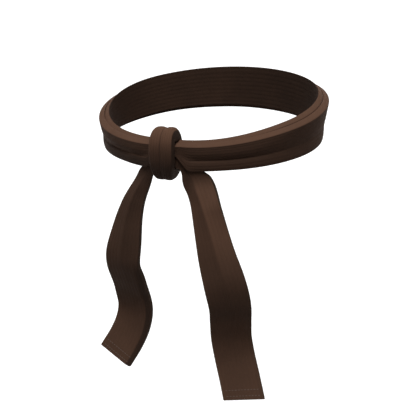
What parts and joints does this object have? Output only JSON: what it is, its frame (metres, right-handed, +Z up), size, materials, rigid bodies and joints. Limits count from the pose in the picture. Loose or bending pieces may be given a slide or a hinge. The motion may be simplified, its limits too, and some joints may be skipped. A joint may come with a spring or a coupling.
{
  "type": "martial arts belt",
  "caption": "Tied martial arts belt: a quilted brown cotton strap in two turns round the waist, a pleated front knot and two hanging tails.",
  "frame": {"origin": "centre of the waist opening, halfway up the band at the sides", "axes": "+Z up, as worn standing; the knot faces -Y; +X towards the wearer's left hand"},
  "size_m": [0.2566, 0.2142, 0.329],
  "materials": {
    "cover": "dark brown cotton drill, matt, quilted with parallel rows of stitching",
    "core": "undyed cotton batting, matt",
    "thread": "brown sewing thread, slight sheen"
  },
  "bodies": {
    "waist_wraps": {"inner_turn_cover": "cover", "inner_turn_core": "core", "outer_turn_cover": "cover", "outer_turn_core": "core", "knot_turn_cover": "cover", "knot_turn_core": "core", "right_tail_tuck_cover": "cover", "right_tail_tuck_core": "core", "left_tail_tuck_cover": "cover", "left_tail_tuck_core": "core"},
    "right_tail_neck": {"right_tail_neck_cover": "cover", "right_tail_neck_core": "core"},
    "right_tail_upper": {"right_tail_upper_cover": "cover", "right_tail_upper_core": "core"},
    "right_tail_lower": {"right_tail_lower_cover": "cover", "right_tail_lower_core": "core", "right_end_stitch_1_front": "thread", "right_end_stitch_1_back": "thread", "right_end_stitch_2_front": "thread", "right_end_stitch_2_back": "thread"},
    "left_tail_neck": {"left_tail_neck_cover": "cover", "left_tail_neck_core": "core"},
    "left_tail_upper": {"left_tail_upper_cover": "cover", "left_tail_upper_core": "core"},
    "left_tail_lower": {"left_tail_lower_cover": "cover", "left_tail_lower_core": "core", "left_end_stitch_1_front": "thread", "left_end_stitch_1_back": "thread", "left_end_stitch_2_front": "thread", "left_end_stitch_2_back": "thread"}
  },
  "joints": [
    {"name": "right_tail_splay", "type": "hinge", "parent": "waist_wraps", "child": "right_tail_neck", "pos_m": [-0.02667, -0.09756, -0.04935], "axis": [0, 1, 0], "range_deg": [-4, 25]},
    {"name": "right_tail_swing", "type": "hinge", "parent": "right_tail_neck", "child": "right_tail_upper", "pos_m": [-0.03829, -0.10013, -0.08225], "axis": [-0.9528, 0.1274, 0.2758], "range_deg": [-5, 75]},
    {"name": "right_tail_bend", "type": "hinge", "parent": "right_tail_upper", "child": "right_tail_lower", "pos_m": [-0.05523, -0.09195, -0.17482], "axis": [-0.9732, 0.2247, 0.0493], "range_deg": [-20, 80]},
    {"name": "left_tail_splay", "type": "hinge", "parent": "waist_wraps", "child": "left_tail_neck", "pos_m": [0.02667, -0.09752, -0.04939], "axis": [0, -1, 0], "range_deg": [-4, 25]},
    {"name": "left_tail_swing", "type": "hinge", "parent": "left_tail_neck", "child": "left_tail_upper", "pos_m": [0.04084, -0.09961, -0.08128], "axis": [-0.923, -0.2311, -0.3076], "range_deg": [-5, 75]},
    {"name": "left_tail_bend", "type": "hinge", "parent": "left_tail_upper", "child": "left_tail_lower", "pos_m": [0.06486, -0.09487, -0.1834], "axis": [-0.8964, -0.3991, -0.1926], "range_deg": [-20, 80]}
  ]
}
